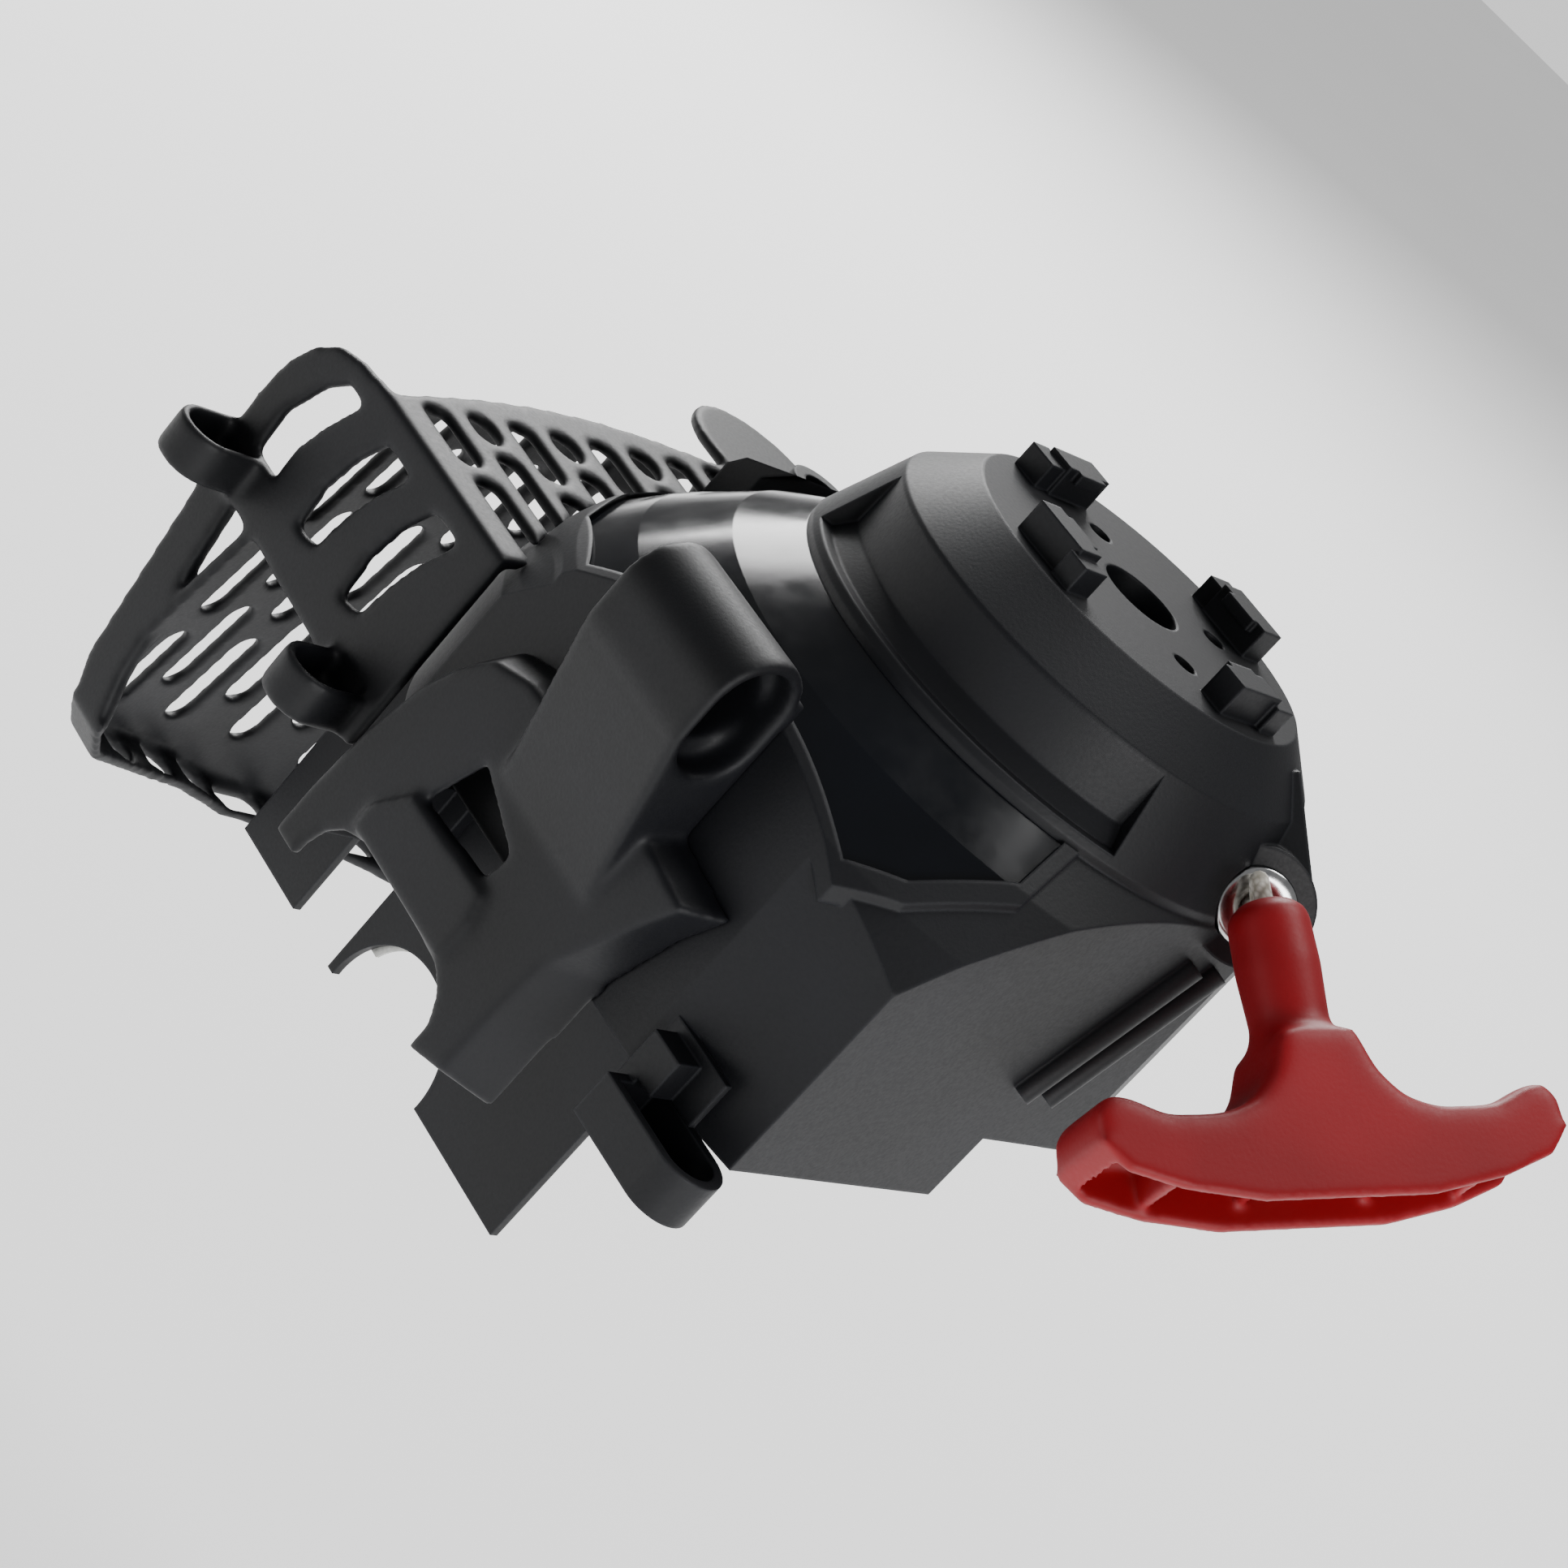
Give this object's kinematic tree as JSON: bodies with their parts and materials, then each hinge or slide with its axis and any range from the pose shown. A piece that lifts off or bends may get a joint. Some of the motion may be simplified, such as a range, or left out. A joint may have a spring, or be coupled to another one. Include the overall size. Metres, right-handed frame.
{
  "type": "recoil starter",
  "caption": "Moulded fan housing with a rope-pull recoil starter in its round cap, a grille guard over the cylinder, a flank shroud and a T handle.",
  "frame": {"origin": "crank axis where it crosses the plane of the air guide's engine-side edge", "axes": "+Z along the crank axis out through the round starter cap, +Y towards the cylinder guard, +X away from the shrouded flank"},
  "size_m": [0.1676, 0.252, 0.1885],
  "materials": {
    "black_nylon": "fine spark texture, injection moulded glass-filled nylon",
    "gloss_black": "polished",
    "red_nylon": "satin moulded",
    "white_acetal": "natural acetal",
    "bright_steel": "nickel plated",
    "zinc_steel": "zinc plated",
    "spring_steel": "oiled spring steel",
    "aluminium_sheet": "mill finish",
    "sintered_steel": "sintered",
    "starter_cord": "braided nylon"
  },
  "bodies": {
    "housing": {"starter_housing": "black_nylon", "name_plate": "gloss_black", "rope_ferrule": "bright_steel", "cylinder_guard": "black_nylon", "flank_shroud": "black_nylon", "air_guide_plate": "black_nylon", "heat_shield": "aluminium_sheet", "shield_clip": "black_nylon", "spring_case": "zinc_steel", "recoil_spring": "spring_steel", "spring_cover": "zinc_steel", "reel_washer": "zinc_steel", "friction_spring": "spring_steel", "centre_screw": "zinc_steel", "rope_run": "starter_cord"},
    "reel": {"rope_pulley": "white_acetal", "rope_coil": "starter_cord", "pawl_pin_a": "zinc_steel", "pawl_pin_b": "zinc_steel"},
    "pawl_one": {"pawl_a": "sintered_steel"},
    "pawl_two": {"pawl_b": "sintered_steel"},
    "cam_plate": {"friction_plate": "zinc_steel"},
    "pull_cord": {"rope_end": "starter_cord", "handle_knot": "starter_cord"},
    "handle": {"pull_handle": "red_nylon"}
  },
  "joints": [
    {"name": "handle_pull", "type": "slide", "parent": "housing", "child": "pull_cord", "axis": [-0.0653, -0.9016, -0.4275], "range_m": [0, 0.6], "stiffness_N_per_m": 12, "springref_m": -0.5},
    {"name": "reel_spin", "type": "hinge", "parent": "housing", "child": "reel", "pos_m": [0, 0, 0.138], "axis": [0, 0, 1], "range_deg": [-1330, 0]},
    {"name": "handle_swivel", "type": "hinge", "parent": "pull_cord", "child": "handle", "pos_m": [-0.0003, -0.0569, 0.1439], "axis": [-0.0653, -0.9016, -0.4275], "continuous": true},
    {"name": "cam_plate_lag", "type": "hinge", "parent": "reel", "child": "cam_plate", "pos_m": [0, 0, 0.125], "axis": [0, 0, 1], "range_deg": [0, 20]},
    {"name": "pawl_one_swing", "type": "hinge", "parent": "reel", "child": "pawl_one", "pos_m": [0.02067, 0.00752, 0.1287], "axis": [0, 0, 1], "range_deg": [0, 28]},
    {"name": "pawl_two_swing", "type": "hinge", "parent": "reel", "child": "pawl_two", "pos_m": [-0.02067, -0.00752, 0.1287], "axis": [0, 0, 1], "range_deg": [0, 28]}
  ],
  "couplings": [
    {"joint": "reel_spin", "follows": "handle_pull", "rad_per_m": -38.46},
    {"joint": "pawl_one_swing", "follows": "cam_plate_lag", "ratio": 1.4},
    {"joint": "pawl_two_swing", "follows": "cam_plate_lag", "ratio": 1.4}
  ]
}
